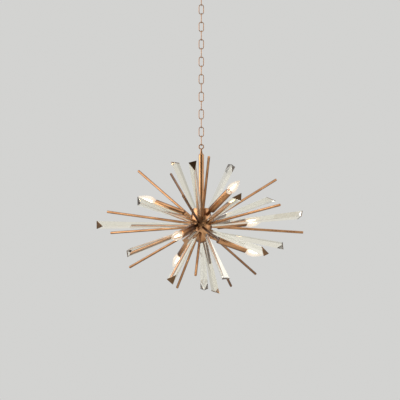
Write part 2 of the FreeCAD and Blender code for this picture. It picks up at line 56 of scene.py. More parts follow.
# ---- The layout of the arms, in degrees and millimetres ----
LONG, SHORT = 388.0, 300.0
# azimuth, elevation, height over the hub's middle at which the axis starts, reach
RODS = {
    "upper": [
        (141.5, 37.0, 0, LONG), (112.5, 37.0, 0, LONG), (275.0, 35.0, -3, LONG),
        (30.5, 30.5, 0, LONG),
    ],
    "middle": [
        (318.5, 7.5, 0, LONG), (6.5, -3.0, 0, LONG), (153.5, -1.0, -2, LONG),
        (160.0, 9.5, 4, LONG), (260.0, 10.5, 0, LONG), (280.5, -14.0, 0, LONG),
    ],
    "lower": [
        (53.5, -24.0, 0, LONG), (69.5, -31.5, 0, LONG), (264.5, -43.0, 0, SHORT),
        (117.0, -47.0, 0, SHORT), (139.5, -20.5, 0, LONG),
    ],
}
# the same, and the roll of the prism's front edge about its axis
PRISMS = {
    "upper": [
        (129.5, 59.0, 0, SHORT, 0), (262.5, 42.0, 3, SHORT, 201), (65.5, 43.0, 0, LONG, 30),
        (290.5, 10.0, 0, LONG, 83), (42.5, 19.0, 0, LONG, -10), (233.5, 7.5, 5, LONG, 120),
    ],
    "middle": [
        (342.5, 4.0, 0, LONG, 228), (35.5, -5.0, -16, LONG, 75),
        (178.0, 0.5, 0, LONG, -108), (261.5, -13.0, -9, LONG, 72),
    ],
    "lower": [
        (327.0, -20.5, -8, SHORT, 22), (294.5, -46.0, 0, SHORT, 177), (73.5, -52.0, 0, SHORT, 210),
        (88.0, -33.5, 0, LONG, 180), (238.5, -46.5, 0, SHORT, -63), (193.5, -20.5, 0, SHORT, 50),
    ],
}
# azimuth, elevation and starting height of the lamps
LAMPS = [
    (306.0, 28.0, 20), (245.5, -18.0, 12), (119.0, -33.5, 12),
    (161.5, 22.0, 20), (28.0, -15.0, -30), (30.5, 8.0, -6),
]

# ---- Sizes that the pieces share, in millimetres ----
HUB_RADIUS, HUB_TOP_RADIUS, HUB_HALF, HUB_NOSE, LID = 40.0, 33.0, 65.0, 27.0, 4.0
# radii of the hub's side above its middle, and below it down to the nose
HUB_FLARE = (HUB_HALF ** 2 + (HUB_RADIUS - HUB_TOP_RADIUS) ** 2) / (
    2 * (HUB_RADIUS - HUB_TOP_RADIUS))
HUB_BELLY = (HUB_RADIUS ** 2 + (HUB_HALF - HUB_NOSE) ** 2 - HUB_NOSE ** 2) / (
    2 * (HUB_RADIUS - HUB_NOSE))
# steps in each arc of the hub's outline, and degrees for each step of the canopy's corners
ARC_STEPS, CORNER_STEP = 12, 10
# where rods and nipples start, inside the hub
INSIDE = 15.0
# thickness of spun sheet
SHEET = 1.2
# radius of the bends in the hook loop and the stem eye, and degrees for each step of a bend
RING_BEND, BEND_STEP = 8.5, 9
# angles over which an edge is drawn sharp: turned metal, knurled or flat faces, glass
TURNED, KNURLED, FLAT, BLOWN = 35.0, 25.0, 5.0, 60.0
# sides round a turned form: canopy and hub, ring nut, tubes, necks and holders, bulbs, slim
# rods and caps, a bulb's glass stem, filaments
WIDE_SIDES, NUT_SIDES, TUBE_SIDES, NECK_SIDES = 96, 72, 64, 48
BULB_SIDES, SLIM_SIDES, CORE_SIDES, FILAMENT_SIDES = 40, 32, 24, 12


def centre_z(node):
    low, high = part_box(node)
    return (low.z + high.z) / 2 / MM


HUB_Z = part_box("hub_body")[0].z / MM + HUB_HALF
LINKS = sorted(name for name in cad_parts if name.startswith("chain_link_"))


# ---- Sizes and colours that a user would change ----
class ChandelierSettings(bpy.types.PropertyGroup):
    metal: bpy.props.FloatVectorProperty(
        name="Metal", description="Colour of the brushed bronze", subtype="COLOR",
        size=3, min=0, max=1, default=(0.66, 0.36, 0.18))
    patina: bpy.props.FloatVectorProperty(
        name="Patina", description="Darker tone that clouds the bronze", subtype="COLOR",
        size=3, min=0, max=1, default=(0.47, 0.23, 0.105))
    # the caps' tone is their darker bronze, darkened further as painted shade for the dark
    # reflections they show
    cap_metal_and_shade: bpy.props.FloatVectorProperty(
        name="Cap metal", description="Colour of the caps on the prisms", subtype="COLOR",
        size=3, min=0, max=1, default=(0.21, 0.12, 0.062))
    glass_tint: bpy.props.FloatVectorProperty(
        name="Glass tint", description="Tint of the prisms", subtype="COLOR",
        size=3, min=0, max=1, default=(0.91, 0.875, 0.775))
    glow: bpy.props.FloatVectorProperty(
        name="Glow", description="Colour of the lit filaments", subtype="COLOR",
        size=3, min=0, max=1, default=(1.0, 0.72, 0.38))
    glow_strength: bpy.props.FloatProperty(
        name="Glow strength", description="Brightness of the lit filaments", min=0, default=9.0)
    bloom: bpy.props.FloatProperty(
        name="Bloom", description="Brightness that the light spreads over a bulb's glass",
        min=0, default=0.11)
    wire_sides: bpy.props.IntProperty(
        name="Wire sides", description="Sides round the wire of links and rings",
        min=8, max=64, default=20)
    link_length: bpy.props.FloatProperty(
        name="Link length", description="Outer length of a chain link",
        subtype="DISTANCE", unit="LENGTH", min=0.01, default=0.040)
    link_width: bpy.props.FloatProperty(
        name="Link width", description="Outer width of a chain link",
        subtype="DISTANCE", unit="LENGTH", min=0.005, default=0.020)
    link_wire: bpy.props.FloatProperty(
        name="Link wire", description="Thickness of the chain's wire",
        subtype="DISTANCE", unit="LENGTH", min=0.001, default=0.003)
    ring_wire: bpy.props.FloatProperty(
        name="Ring wire", description="Thickness of the hook loop and the stem eye",
        subtype="DISTANCE", unit="LENGTH", min=0.001, default=0.004)
    stem_diameter: bpy.props.FloatProperty(
        name="Stem diameter", description="Outer diameter of the stem",
        subtype="DISTANCE", unit="LENGTH", min=0.01, default=0.020)
    rod_diameter: bpy.props.FloatProperty(
        name="Rod diameter", description="Diameter of the round rods",
        subtype="DISTANCE", unit="LENGTH", min=0.004, default=0.0095)
    prism_root_side: bpy.props.FloatProperty(
        name="Prism root side", description="Side of a prism's triangle near the hub",
        subtype="DISTANCE", unit="LENGTH", min=0.005, default=0.017)
    prism_tip_side: bpy.props.FloatProperty(
        name="Prism tip side", description="Side of a prism's triangle at its tip",
        subtype="DISTANCE", unit="LENGTH", min=0.005, default=0.030)
    candle_diameter: bpy.props.FloatProperty(
        name="Candle diameter", description="Outer diameter of a candle tube",
        subtype="DISTANCE", unit="LENGTH", min=0.015, default=0.027)
    bulb_diameter: bpy.props.FloatProperty(
        name="Bulb diameter", description="Largest diameter of a candle bulb",
        subtype="DISTANCE", unit="LENGTH", min=0.015, default=0.035)


def settings():
    return bpy.context.scene.chandelier


def size(name):
    """A length of the settings, in millimetres."""
    return getattr(settings(), name) / MM


# ---- Node groups shared by the finishes ----
def group_sockets(group, inputs):
    """Gives a group its inputs, and the three outputs that every effect has."""
    for name, kind, value in inputs:
        made = group.interface.new_socket(name, in_out="INPUT", socket_type=kind)
        made.default_value = value
    group.interface.new_socket("Color", in_out="OUTPUT", socket_type="NodeSocketColor")
    group.interface.new_socket("Roughness", in_out="OUTPUT", socket_type="NodeSocketFloat")
    group.interface.new_socket("Height", in_out="OUTPUT", socket_type="NodeSocketFloat")


def brushed_group():
    """Clouded metal with a fine grain: colour, roughness and a small height."""
    found = bpy.data.node_groups.get("Brushed metal")
    if found:
        return found
    group = bpy.data.node_groups.new("Brushed metal", "ShaderNodeTree")
    group_sockets(group, [
        ("Light tone", "NodeSocketColor", (0.7, 0.5, 0.3, 1)),
        ("Dark tone", "NodeSocketColor", (0.4, 0.25, 0.15, 1)),
        ("Cloud size", "NodeSocketFloat", 25.0),
        ("Grain size", "NodeSocketFloat", 900.0),
        ("Smoothest", "NodeSocketFloat", 0.22),
        ("Roughest", "NodeSocketFloat", 0.38),
    ])
    nodes, links = group.nodes, group.links
    source = nodes.new("NodeGroupInput")
    result = nodes.new("NodeGroupOutput")
    place = nodes.new("ShaderNodeTexCoord")
    clouds = nodes.new("ShaderNodeTexNoise")
    clouds.inputs["Detail"].default_value = 5.0
    grain = nodes.new("ShaderNodeTexNoise")
    grain.inputs["Detail"].default_value = 2.0
    links.new(place.outputs["Object"], clouds.inputs["Vector"])
    links.new(place.outputs["Object"], grain.inputs["Vector"])
    links.new(source.outputs["Cloud size"], clouds.inputs["Scale"])
    links.new(source.outputs["Grain size"], grain.inputs["Scale"])
    ramp = nodes.new("ShaderNodeValToRGB")
    ramp.color_ramp.elements[0].position = 0.35
    ramp.color_ramp.elements[1].position = 0.65
    links.new(clouds.outputs["Fac"], ramp.inputs["Fac"])
    tone = nodes.new("ShaderNodeMix")
    tone.data_type = "RGBA"
    links.new(ramp.outputs["Color"], tone.inputs["Factor"])
    links.new(source.outputs["Dark tone"], tone.inputs["A"])
    links.new(source.outputs["Light tone"], tone.inputs["B"])
    links.new(tone.outputs["Result"], result.inputs["Color"])
    spread = nodes.new("ShaderNodeMapRange")
    links.new(grain.outputs["Fac"], spread.inputs["Value"])
    spread.inputs["From Min"].default_value = 0.3
    spread.inputs["From Max"].default_value = 0.7
    links.new(source.outputs["Smoothest"], spread.inputs["To Min"])
    links.new(source.outputs["Roughest"], spread.inputs["To Max"])
    links.new(spread.outputs["Result"], result.inputs["Roughness"])
    links.new(grain.outputs["Fac"], result.inputs["Height"])
    return group


def speckle_group():
    """Fine variation for plastics and glass: colour and roughness about a given tone."""
    found = bpy.data.node_groups.get("Fine speckle")
    if found:
        return found
    group = bpy.data.node_groups.new("Fine speckle", "ShaderNodeTree")
    group_sockets(group, [
        ("Tone", "NodeSocketColor", (0.8, 0.8, 0.8, 1)),
        ("Shade", "NodeSocketColor", (0.7, 0.7, 0.7, 1)),
        ("Size", "NodeSocketFloat", 60.0),
        ("Smoothest", "NodeSocketFloat", 0.0),
        ("Roughest", "NodeSocketFloat", 0.1),
    ])
    nodes, links = group.nodes, group.links
    source = nodes.new("NodeGroupInput")
    result = nodes.new("NodeGroupOutput")
    place = nodes.new("ShaderNodeTexCoord")
    noise = nodes.new("ShaderNodeTexNoise")
    noise.inputs["Detail"].default_value = 3.0
    links.new(place.outputs["Object"], noise.inputs["Vector"])
    links.new(source.outputs["Size"], noise.inputs["Scale"])
    tone = nodes.new("ShaderNodeMix")
    tone.data_type = "RGBA"
    links.new(noise.outputs["Fac"], tone.inputs["Factor"])
    links.new(source.outputs["Tone"], tone.inputs["A"])
    links.new(source.outputs["Shade"], tone.inputs["B"])
    links.new(tone.outputs["Result"], result.inputs["Color"])
    spread = nodes.new("ShaderNodeMapRange")
    links.new(noise.outputs["Fac"], spread.inputs["Value"])
    links.new(source.outputs["Smoothest"], spread.inputs["To Min"])
    links.new(source.outputs["Roughest"], spread.inputs["To Max"])
    links.new(spread.outputs["Result"], result.inputs["Roughness"])
    links.new(noise.outputs["Fac"], result.inputs["Height"])
    return group


def rgba(colour):
    return (*tuple(colour)[:3], 1.0)


# how far a surface has turned from the eye where its rim begins and is full: on the metal a painted
# dark shade, on a bulb's glass the fading of its glow
METAL_PAINTED_RIM, GLASS_RIM = (0.10, 0.68), (0.02, 0.60)
CAP_SHADE, GLASS_SHADE = 0.72, 0.97
BRUSH_RELIEF, GLASS_RELIEF = 0.00002, 0.00001
# bounces after which a path leaves the glass, and the share of a shadow that glass casts
LONGEST_INNER_PATH, SHADOW_CAST = 4.5, 0.15
# how the light colours a bulb's glass from its foot to its tip
BULB_FOOT_COLOUR, BULB_TIP_COLOUR = (0.35, 0.13, 0.03, 1), (0.50, 0.36, 0.20, 1)
BULB_COLOURS = (
    (0.16, (0.85, 0.45, 0.15, 1)), (0.30, (1.0, 0.86, 0.62, 1)), (0.62, (1.0, 0.92, 0.74, 1)),
)
BULB_RIM_COLOUR = (0.42, 0.20, 0.06)


def painted_rim_shade(material, colour, rim, reach):
    """Lets a colour output fall to a darker rim where the surface turns away from the eye: on the
    metal this is painted shade, standing in for dark reflections at grazing angles; on a bulb's
    glass it fades the glow.
    """
    nodes, links = material.node_tree.nodes, material.node_tree.links
    facing = nodes.new("ShaderNodeLayerWeight")
    facing.inputs["Blend"].default_value = 0.5
    fall = nodes.new("ShaderNodeMapRange")
    fall.interpolation_type = "SMOOTHSTEP"
    fall.inputs["From Min"].default_value, fall.inputs["From Max"].default_value = reach
    links.new(facing.outputs["Facing"], fall.inputs["Value"])
    shade = nodes.new("ShaderNodeMix")
    shade.data_type = "RGBA"
    shade.blend_type = "MULTIPLY"
    shade.inputs["B"].default_value = (*rim, 1)
    links.new(fall.outputs["Result"], shade.inputs["Factor"])
    links.new(colour, shade.inputs["A"])
    return shade.outputs["Result"]


def finish_material(name, group, values, metallic=0.0, bump=0.0, rim=None, **constants):
    """A Principled finish whose colour, roughness and relief come from a shared group; a rim
    colour, where given, paints a darker shade where the surface turns from the eye.
    """
    found = bpy.data.materials.get(name)
    if found:
        return found
    material = bpy.data.materials.new(name)
    material.use_nodes = True
    nodes, links = material.node_tree.nodes, material.node_tree.links
    shader = nodes["Principled BSDF"]
    effect = nodes.new("ShaderNodeGroup")
    effect.node_tree = group
    for key, value in values.items():
        effect.inputs[key].default_value = value
    colour = effect.outputs["Color"]
    # painted shade: the rim colour darkens the metal where it turns from the eye, standing in for
    # dark reflections
    if rim:
        colour = painted_rim_shade(material, colour, rim, METAL_PAINTED_RIM)
    links.new(colour, shader.inputs["Base Color"])
    links.new(effect.outputs["Roughness"], shader.inputs["Roughness"])
    if bump:
        relief = nodes.new("ShaderNodeBump")
        relief.inputs["Distance"].default_value = bump
        links.new(effect.outputs["Height"], relief.inputs["Height"])
        links.new(relief.outputs["Normal"], shader.inputs["Normal"])
    shader.inputs["Metallic"].default_value = metallic
    for key, value in constants.items():
        shader.inputs[key.replace("_", " ")].default_value = value
    return material


def bronze():
    chosen = settings()
    # the rim colour is painted shade: a darker bronze where the surface turns from the eye
    return finish_material("Brushed bronze", brushed_group(), {
        "Light tone": rgba(chosen.metal), "Dark tone": rgba(chosen.patina),
        "Cloud size": 22.0, "Grain size": 1400.0, "Smoothest": 0.22, "Roughest": 0.36,
    }, metallic=1.0, bump=BRUSH_RELIEF, rim=(0.20, 0.15, 0.11))


def cap_bronze():
    chosen = settings()
    dark = [tone * CAP_SHADE for tone in chosen.cap_metal_and_shade]
    # the cap tone carries painted shade, and the rim colour paints a darker shade where the cap
    # turns from the eye
    return finish_material("Cap bronze", brushed_group(), {
        "Light tone": rgba(chosen.cap_metal_and_shade), "Dark tone": rgba(dark),
        "Cloud size": 60.0, "Grain size": 1600.0, "Smoothest": 0.24, "Roughest": 0.38,
    }, metallic=1.0, bump=BRUSH_RELIEF, rim=(0.20, 0.14, 0.10))


def zinc():
    return finish_material("Zinc plate", brushed_group(), {
        "Light tone": (0.66, 0.66, 0.65, 1), "Dark tone": (0.52, 0.53, 0.54, 1),
        "Cloud size": 40.0, "Grain size": 900.0, "Smoothest": 0.30, "Roughest": 0.48,
    }, metallic=1.0)


def nickel():
    return finish_material("Nickel", brushed_group(), {
        "Light tone": (0.78, 0.75, 0.70, 1), "Dark tone": (0.62, 0.60, 0.56, 1),
        "Cloud size": 80.0, "Grain size": 1500.0, "Smoothest": 0.18, "Roughest": 0.30,
    }, metallic=1.0)


def holder_plastic():
    return finish_material("Holder plastic", speckle_group(), {
        "Tone": (0.80, 0.78, 0.72, 1), "Shade": (0.70, 0.68, 0.61, 1),
        "Size": 120.0, "Smoothest": 0.25, "Roughest": 0.45,
    })


def clear_paths(material):
    """Lets shadows and long inner paths through a glass, so that it stays light inside."""
    nodes, links = material.node_tree.nodes, material.node_tree.links
    path = nodes.new("ShaderNodeLightPath")
    short = nodes.new("ShaderNodeMath")
    short.operation = "LESS_THAN"
    short.inputs[1].default_value = LONGEST_INNER_PATH
    links.new(path.outputs["Ray Depth"], short.inputs[0])
    lit = nodes.new("ShaderNodeMath")
    lit.operation = "MULTIPLY_ADD"
    lit.inputs[1].default_value = SHADOW_CAST - 1.0
    lit.inputs[2].default_value = 1.0
    links.new(path.outputs["Is Shadow Ray"], lit.inputs[0])
    both = nodes.new("ShaderNodeMath")
    both.operation = "MULTIPLY"
    links.new(short.outputs[0], both.inputs[0])
    links.new(lit.outputs[0], both.inputs[1])
    links.new(both.outputs[0], nodes["Principled BSDF"].inputs["Alpha"])
    return material


def prism_glass():
    tint = settings().glass_tint
    return clear_paths(finish_material("Prism glass", speckle_group(), {
        "Tone": rgba(tint), "Shade": rgba([part * GLASS_SHADE for part in tint]),
        "Size": 14.0, "Smoothest": 0.0, "Roughest": 0.02,
    }, bump=GLASS_RELIEF, Transmission_Weight=1.0, IOR=1.5))


def bulb_glass():
    """Clear envelope; the light inside spreads over it, amber towards the foot."""
    found = bpy.data.materials.get("Bulb glass")
    if found:
        return found
    material = finish_material("Bulb glass", speckle_group(), {
        "Tone": (1.0, 0.985, 0.95, 1), "Shade": (1.0, 0.97, 0.92, 1),
        "Size": 30.0, "Smoothest": 0.0, "Roughest": 0.02,
    }, Transmission_Weight=1.0, IOR=1.45)
    nodes, links = material.node_tree.nodes, material.node_tree.links
    shader = nodes["Principled BSDF"]
    along = nodes.new("ShaderNodeAttribute")
    along.attribute_name = "along"
    ramp = nodes.new("ShaderNodeValToRGB")
    stops = ramp.color_ramp.elements
    stops[0].position, stops[0].color = 0.0, BULB_FOOT_COLOUR
    stops[1].position, stops[1].color = 1.0, BULB_TIP_COLOUR
    for position, colour in BULB_COLOURS:
        stops.new(position).color = colour
    links.new(along.outputs["Fac"], ramp.inputs["Fac"])
    shaded = painted_rim_shade(material, ramp.outputs["Color"], BULB_RIM_COLOUR, GLASS_RIM)
    links.new(shaded, shader.inputs["Emission Color"])
    shader.inputs["Emission Strength"].default_value = settings().bloom
    return clear_paths(material)


def filament_glow():
    """The lit filaments: warm white, clouded with the glow's own colour."""
    found = bpy.data.materials.get("Filament glow")
    if found:
        return found
    chosen = settings()
    material = bpy.data.materials.new("Filament glow")
    material.use_nodes = True
    nodes, links = material.node_tree.nodes, material.node_tree.links
    shader = nodes["Principled BSDF"]
    place = nodes.new("ShaderNodeTexCoord")
    noise = nodes.new("ShaderNodeTexNoise")
    noise.inputs["Scale"].default_value = 400.0
    links.new(place.outputs["Object"], noise.inputs["Vector"])
    tone = nodes.new("ShaderNodeMix")
    tone.data_type = "RGBA"
    tone.inputs["A"].default_value = rgba(chosen.glow)
    tone.inputs["B"].default_value = (1.0, 0.80, 0.52, 1)
    links.new(noise.outputs["Fac"], tone.inputs["Factor"])
    links.new(tone.outputs["Result"], shader.inputs["Emission Color"])
    links.new(tone.outputs["Result"], shader.inputs["Base Color"])
    shader.inputs["Emission Strength"].default_value = chosen.glow_strength
    return material


# ---- Mesh helpers ----
def finish_piece(name, mesh, material, body, replaces=(), smooth=TURNED):
    """Turns a bmesh into a piece at the origin that rides on a body of the frame."""
    bmesh.ops.remove_doubles(mesh, verts=mesh.verts, dist=1e-7)
    bmesh.ops.recalc_face_normals(mesh, faces=mesh.faces)
    data = bpy.data.meshes.new(name)
    mesh.to_mesh(data)
    mesh.free()
    data.materials.append(material)
    piece = bpy.data.objects.new(name, data)
    bpy.context.scene.collection.objects.link(piece)
    for face in data.polygons:
        face.use_smooth = True
    data.set_sharp_from_angle(angle=math.radians(smooth))
    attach(piece, body)
    if replaces:
        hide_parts(*replaces)


def bronze_piece(name, mesh, body, node, smooth=TURNED):
    finish_piece(name, mesh, bronze(), body, [node], smooth)


def spun(mesh, outline, sides, place=Matrix.Identity(4)):
    """Turns an outline of (radius, height) in mm about the Z axis of a placement."""
    corners = [mesh.verts.new(Vector((radius, 0, height)) * MM) for radius, height in outline]
    edges = [mesh.edges.new(pair) for pair in zip(corners, corners[1:])]
    bmesh.ops.spin(mesh, geom=corners + edges, cent=(0, 0, 0), axis=(0, 0, 1),
                   angle=math.tau, steps=sides, use_merge=True)
    turned = {corner for corner in corners if corner.is_valid}
    stack = list(turned)
    while stack:
        for edge in stack.pop().link_edges:
            for corner in edge.verts:
                if corner not in turned:
                    turned.add(corner)
                    stack.append(corner)
    bmesh.ops.transform(mesh, matrix=place, verts=list(turned))


def mark_along(mesh, length):
    """Keeps each corner's share of the way along Z as the attribute that the finish reads."""
    layer = mesh.verts.layers.float.new("along")
    for corner in mesh.verts:
        corner[layer] = corner.co.z / length


def arm_matrix(azimuth, elevation, rise, roll=0.0):
    """Z runs out along the arm and X is its own 'up', turned by the roll."""
    turn, lift = math.radians(azimuth), math.radians(elevation)
    out = Vector((math.cos(lift) * math.cos(turn), math.cos(lift) * math.sin(turn), math.sin(lift)))
    up = Vector((
        -math.sin(lift) * math.cos(turn), -math.sin(lift) * math.sin(turn), math.cos(lift)))
    angle = math.radians(roll)
    front = up * math.cos(angle) + out.cross(up) * math.sin(angle)
    side = out.cross(front)
    columns = Matrix((front, side, out)).transposed().to_4x4()
    return Matrix.Translation(Vector((0, 0, HUB_Z + rise)) * MM) @ columns


def only(items, kind):
    return [item for item in items if isinstance(item, kind)]


def bent_wire(mesh, centres, radius, wire, place):
    """Round wire bent about each centre in turn (x, z, sweep in degrees), joined by straights."""
    ring = bmesh.ops.create_circle(
        mesh, segments=settings().wire_sides, radius=wire / 2 * MM, cap_ends=False)
    x, z, _ = centres[0]
    bmesh.ops.translate(mesh, verts=ring["verts"], vec=Vector((x + radius, 0, z)) * MM)
    current = list({edge for corner in ring["verts"] for edge in corner.link_edges})
    for index, (x, z, sweep) in enumerate(centres):
        corners = list({corner for edge in current for corner in edge.verts})
        bent = bmesh.ops.spin(
            mesh, geom=current + corners, cent=Vector((x, 0, z)) * MM, axis=(0, -1, 0),
            angle=math.radians(sweep), steps=int(sweep / BEND_STEP))
        current = only(bent["geom_last"], bmesh.types.BMEdge)
        next_x, next_z, _ = centres[(index + 1) % len(centres)]
        if (next_x, next_z) != (x, z):
            pulled = bmesh.ops.extrude_edge_only(mesh, edges=current)
            fresh = only(pulled["geom"], bmesh.types.BMVert)
            bmesh.ops.translate(mesh, verts=fresh, vec=Vector((next_x - x, 0, next_z - z)) * MM)
            current = [edge for edge in only(pulled["geom"], bmesh.types.BMEdge)
                       if all(corner in fresh for corner in edge.verts)]
    bmesh.ops.remove_doubles(mesh, verts=mesh.verts, dist=1e-6)
    bmesh.ops.transform(mesh, matrix=place, verts=mesh.verts)


def upright(z, turned):
    """A place on the hanging line, a quarter turn round if it's turned."""
    quarter = Matrix.Rotation(math.radians(90 if turned else 0), 4, "Z")
    return Matrix.Translation((0, 0, z * MM)) @ quarter


def is_turned(node):
    low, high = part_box(node)
    return (high.y - low.y) > (high.x - low.x)


# ---- Operators, one for each piece or group of like pieces ----
class CHANDELIER_OT_chain(bpy.types.Operator):
    """Makes the eighteen links of the chain from round wire"""
    bl_idname = "chandelier.chain"
    bl_label = "Chain"

    def execute(self, context):
        length, width, wire = size("link_length"), size("link_width"), size("link_wire")
        bend, half = (width - wire) / 2, (length - width) / 2
        for node in LINKS:
            place = upright(centre_z(node), is_turned(node))
            mesh = bmesh.new()
            bent_wire(mesh, [(0, half, 180), (0, -half, 180)], bend, wire, place)
            bronze_piece("wire_link_" + node[-2:], mesh, "link_" + node[-2:], node)
        return {"FINISHED"}


def quarter_round(side, foot, width, height, steps):
    """Points of a rounded corner that runs from the side down to the foot."""
    points = []
    for step in steps:
        angle = math.radians(CORNER_STEP * step)
        points.append((side - width * (1 - math.cos(angle)), foot + height * (1 - math.sin(angle))))
    return points


class CHANDELIER_OT_canopy(bpy.types.Operator):
    """Makes the spun canopy with its rolled rim and the knurled nut under it"""
    bl_idname = "chandelier.canopy"
    bl_label = "Canopy"

    def execute(self, context):
        self.make_cup()
        self.make_nut()
        return {"FINISHED"}

    def make_cup(self):
        low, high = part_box("canopy")
        top, bottom, radius = high.z / MM, low.z / MM, high.x / MM
        corner, hole, rim_step, rim_height, edge = 9.0, 13.3, 0.6, 3.0, 0.3
        side, floor = radius - rim_step, bottom + SHEET
        outline = [
            (radius - SHEET, top), (radius - edge, top), (radius, top - edge),
            (radius, top - rim_height + rim_step), (side, top - rim_height),
            (side, bottom + corner),
        ]
        outline += quarter_round(side, bottom, corner - rim_step, corner, range(1, 10))
        outline += [
            (hole + 4, bottom), (hole + 0.4, bottom), (hole, bottom + 0.4), (hole, floor),
            (radius - corner, floor),
        ]
        outline += quarter_round(side - SHEET, floor, corner - SHEET - rim_step, corner - SHEET,
                                 range(8, -1, -1))
        outline += [
            (side - SHEET, top - rim_height), (radius - SHEET, top - rim_height + rim_step),
        ]
        mesh = bmesh.new()
        spun(mesh, outline + outline[:1], WIDE_SIDES)
        bronze_piece("canopy_cup", mesh, "canopy_set", "canopy")

    def make_nut(self):
        low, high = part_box("canopy_ring_nut")
        top, bottom, outer, inner = high.z / MM, low.z / MM, 18.0, 12.8
        knurl, edge = 0.5, 0.4
        side = outer - knurl
        mesh = bmesh.new()
        spun(mesh, [
            (inner, bottom + edge), (inner + edge, bottom), (outer - 1.2, bottom),
            (side, bottom + 0.8), (side, top - 0.8), (outer - 1.2, top), (inner + edge, top),
            (inner, top - edge), (inner, bottom + edge),
        ], NUT_SIDES)
        ridges = [face for face in mesh.faces
                  if abs(face.calc_center_median().xy.length / MM - side) < 0.1
                  and abs(face.normal.z) < 0.1][::2]
        bmesh.ops.inset_individual(mesh, faces=ridges, thickness=0.2 * MM, depth=0.0)
        for corner in {corner for face in ridges for corner in face.verts}:
            corner.co.xy *= (outer - 0.05) / side
        bronze_piece("ring_nut", mesh, "canopy_set", "canopy_ring_nut", KNURLED)


class CHANDELIER_OT_rings(bpy.types.Operator):
    """Makes the hook loop under the canopy and the eye with its neck on the stem"""
    bl_idname = "chandelier.rings"
    bl_label = "Hook loop and stem eye"

    def execute(self, context):
        self.make_hook()
        self.make_eye()
        return {"FINISHED"}

    def make_hook(self):
        low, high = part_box("hook_loop")
        top, wire, collar, bore = high.z / MM, size("ring_wire"), -40.8, 5.3
        centre = low.z / MM + wire / 2 + RING_BEND
        crown = centre + RING_BEND
        mesh = bmesh.new()
        bent_wire(mesh, [(0, centre, 360)], RING_BEND, wire, upright(0, True))
        spun(mesh, [
            (0, crown - 1), (3.0, crown - 1), (3.1, crown + 2), (3.5, collar - 6),
            (5.0, collar - 3), (9.4, collar), (11.7, collar), (12.4, collar + 0.8),
            (12.5, collar + 2),
            (12.5, top - 0.6), (11.9, top), (bore, top), (bore, top - 8), (0, top - 8),
        ], NECK_SIDES)
        bronze_piece("hook_ring", mesh, "ceiling", "hook_loop")

    def make_eye(self):
        wire, plug, plug_depth = size("ring_wire"), 8.1, 12
        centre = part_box("stem_eye")[1].z / MM - wire / 2 - RING_BEND
        foot, seat = centre - RING_BEND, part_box("stem_tube")[1].z / MM
        mesh = bmesh.new()
        bent_wire(mesh, [(0, centre, 360)], RING_BEND, wire, upright(0, False))
        spun(mesh, [
            (0, foot + 1), (2.8, foot + 1), (2.9, foot - 3), (3.4, foot - 7), (4.4, foot - 13),
            (5.9, seat + 5.5), (8.2, seat + 3.6), (9.5, seat + 2.4), (9.95, seat + 1.4),
            (9.95, seat + 0.15), (plug, seat), (plug, seat - plug_depth), (0, seat - plug_depth),
        ], NECK_SIDES)
        bronze_piece("eye_and_neck", mesh, "fixture", "stem_eye")


def side_radius(height):
    """Radius of the hub at a height over its middle."""
    if height >= 0:
        return HUB_RADIUS - HUB_FLARE + math.sqrt(HUB_FLARE ** 2 - height ** 2)
    return HUB_RADIUS - HUB_BELLY + math.sqrt(HUB_BELLY ** 2 - height ** 2)


class CHANDELIER_OT_hub(bpy.types.Operator):
    """Makes the stem tube, the lid and the acorn-shaped hub"""
    bl_idname = "chandelier.hub"
    bl_label = "Stem and hub"

    def execute(self, context):
        self.make_stem()
        place = Matrix.Translation((0, 0, HUB_Z * MM))
        self.make_body(place)
        self.make_lid(place)
        return {"FINISHED"}

    def make_stem(self):
        low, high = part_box("stem_tube")
        bottom, top, radius = low.z / MM, high.z / MM, size("stem_diameter") / 2
        bore, edge = radius - 1.5, 0.4
        mesh = bmesh.new()
        spun(mesh, [
            (bore, bottom), (radius - edge, bottom), (radius, bottom + edge), (radius, top - edge),
            (radius - edge, top), (bore, top), (bore, bottom),
        ], TUBE_SIDES)
        bronze_piece("stem", mesh, "fixture", "stem_tube")

    def make_body(self, place):
        shoulder, seam, edge = HUB_HALF - LID, 0.05, 0.5
        meeting = math.atan2(HUB_BELLY - HUB_RADIUS, HUB_HALF - HUB_NOSE)
        shares = [step / ARC_STEPS for step in range(1, ARC_STEPS + 1)]
        outline = [(0, -HUB_HALF)]
        for share in shares:
            angle = meeting * share
            outline.append(
                (HUB_NOSE * math.sin(angle), HUB_NOSE * (1 - math.cos(angle)) - HUB_HALF))
        meeting_height = outline[-1][1]
        heights = [meeting_height * (1 - share) for share in shares]
        heights += [(shoulder - edge) * share for share in shares]
        outline += [(side_radius(height), height) for height in heights]
        outline += [(side_radius(shoulder) - edge, shoulder - seam), (0, shoulder - seam)]
        mesh = bmesh.new()
        spun(mesh, outline, WIDE_SIDES, place)
        bronze_piece("hub", mesh, "fixture", "hub_body")

    def make_lid(self, place):
        foot, rim = HUB_HALF - LID, side_radius(HUB_HALF)
        mesh = bmesh.new()
        spun(mesh, [
            (0, foot), (rim, foot), (rim + 0.3, foot + 0.4), (rim, HUB_HALF - 1.1),
            (rim - 0.3, HUB_HALF - 0.4), (rim - 1.1, HUB_HALF), (0, HUB_HALF),
        ], WIDE_SIDES, place)
        bronze_piece("lid", mesh, "fixture", "hub_lid")


